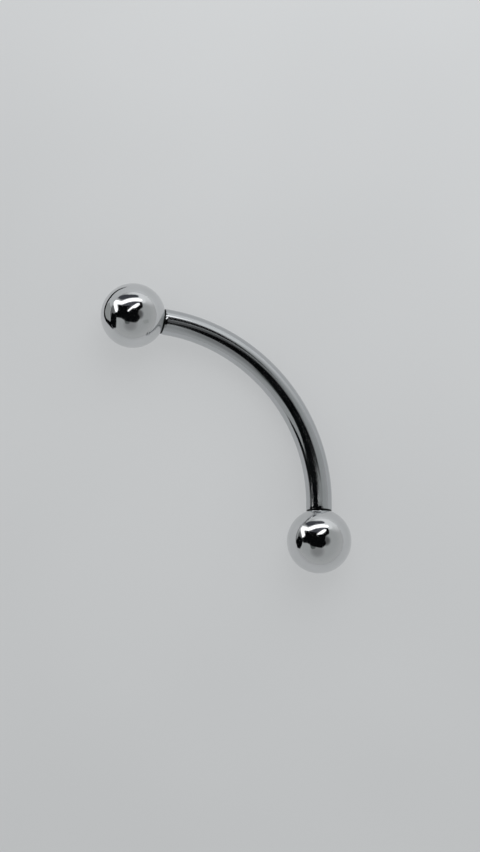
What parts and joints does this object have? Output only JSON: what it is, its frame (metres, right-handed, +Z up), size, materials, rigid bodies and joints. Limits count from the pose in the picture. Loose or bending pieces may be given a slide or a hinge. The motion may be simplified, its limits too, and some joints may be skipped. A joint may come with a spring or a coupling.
{
  "type": "curved eyebrow barbell",
  "caption": "Curved bar of round polished steel wire with a screw-on ball at each end, worn through an eyebrow piercing.",
  "frame": {"origin": "middle of the part's outline seen from above, on the surface that it rests on", "axes": "+X from the left ball to the right ball, +Y towards the side that the bar bows to, +Z up from the surface"},
  "size_m": [0.0166, 0.0052, 0.003],
  "materials": {
    "polished_steel": "mirror-polished surgical steel"
  },
  "bodies": {
    "bar": {"bar": "polished_steel"},
    "ball_left": {"ball_left": "polished_steel"},
    "ball_right": {"ball_right": "polished_steel"}
  },
  "joints": [
    {"name": "ball_left_unscrew", "type": "slide", "parent": "bar", "child": "ball_left", "axis": [-0.7528, -0.6322, 0.1833], "range_m": [0, 0.002]},
    {"name": "ball_right_unscrew", "type": "slide", "parent": "bar", "child": "ball_right", "axis": [0.7528, -0.6322, 0.1833], "range_m": [0, 0.002]}
  ]
}
